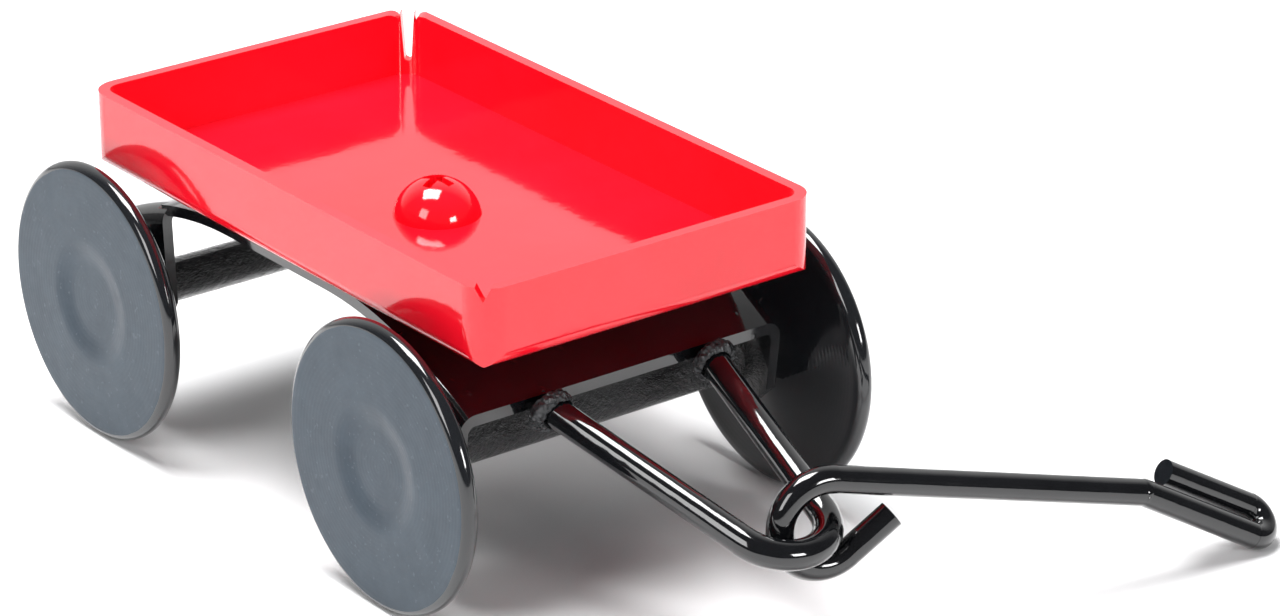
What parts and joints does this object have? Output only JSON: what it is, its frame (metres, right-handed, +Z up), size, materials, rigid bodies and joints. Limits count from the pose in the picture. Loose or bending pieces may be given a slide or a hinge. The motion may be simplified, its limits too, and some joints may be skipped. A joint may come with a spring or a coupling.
{
  "type": "wagon with pull handle",
  "caption": "Desk-size welded steel wagon: open red sheet tray on an arched black chassis, solid disc wheels on turning axles and a hooked pull handle.",
  "frame": {"origin": "ground level under the middle of the whole object with its handle laid out to the side", "axes": "+Z up, -Y towards the yoke and pull handle, +X towards the side the handle lies on"},
  "size_m": [0.1114, 0.1534, 0.0498],
  "materials": {
    "tray_paint": "high gloss",
    "chassis_paint": "high gloss",
    "rod_paint": "high gloss",
    "wheel_steel": "satin face, gloss black rim",
    "axle_steel": "satin",
    "fastener_steel": "blackened",
    "weld_metal": "rough gloss"
  },
  "bodies": {
    "wagon_frame": {"tray": "tray_paint", "tray_screw": "tray_paint", "spring_washer": "fastener_steel", "tray_nut": "fastener_steel", "chassis_plate": "chassis_paint", "front_axle_tube": "chassis_paint", "rear_axle_tube": "chassis_paint", "front_tube_welds": "weld_metal", "rear_tube_welds": "weld_metal", "yoke": "rod_paint", "yoke_welds": "weld_metal"},
    "front_wheelset": {"front_axle_rod": "axle_steel", "front_left_wheel": "wheel_steel", "front_right_wheel": "wheel_steel", "front_stem_welds": "weld_metal"},
    "rear_wheelset": {"rear_axle_rod": "axle_steel", "rear_left_wheel": "wheel_steel", "rear_right_wheel": "wheel_steel", "rear_stem_welds": "weld_metal"},
    "handle": {"pull_handle": "rod_paint"}
  },
  "joints": [
    {"name": "front_axle_spin", "type": "hinge", "parent": "wagon_frame", "child": "front_wheelset", "pos_m": [-0.0207, -0.0154, 0.02075], "axis": [1, 0, 0], "continuous": true},
    {"name": "rear_axle_spin", "type": "hinge", "parent": "wagon_frame", "child": "rear_wheelset", "pos_m": [-0.0207, 0.056, 0.02075], "axis": [1, 0, 0], "continuous": true},
    {"name": "handle_lift", "type": "hinge", "parent": "wagon_frame", "child": "handle", "pos_m": [-0.0138, -0.05875, 0.01705], "axis": [-0.2419, -0.9703, 0], "range_deg": [0, 100]}
  ]
}
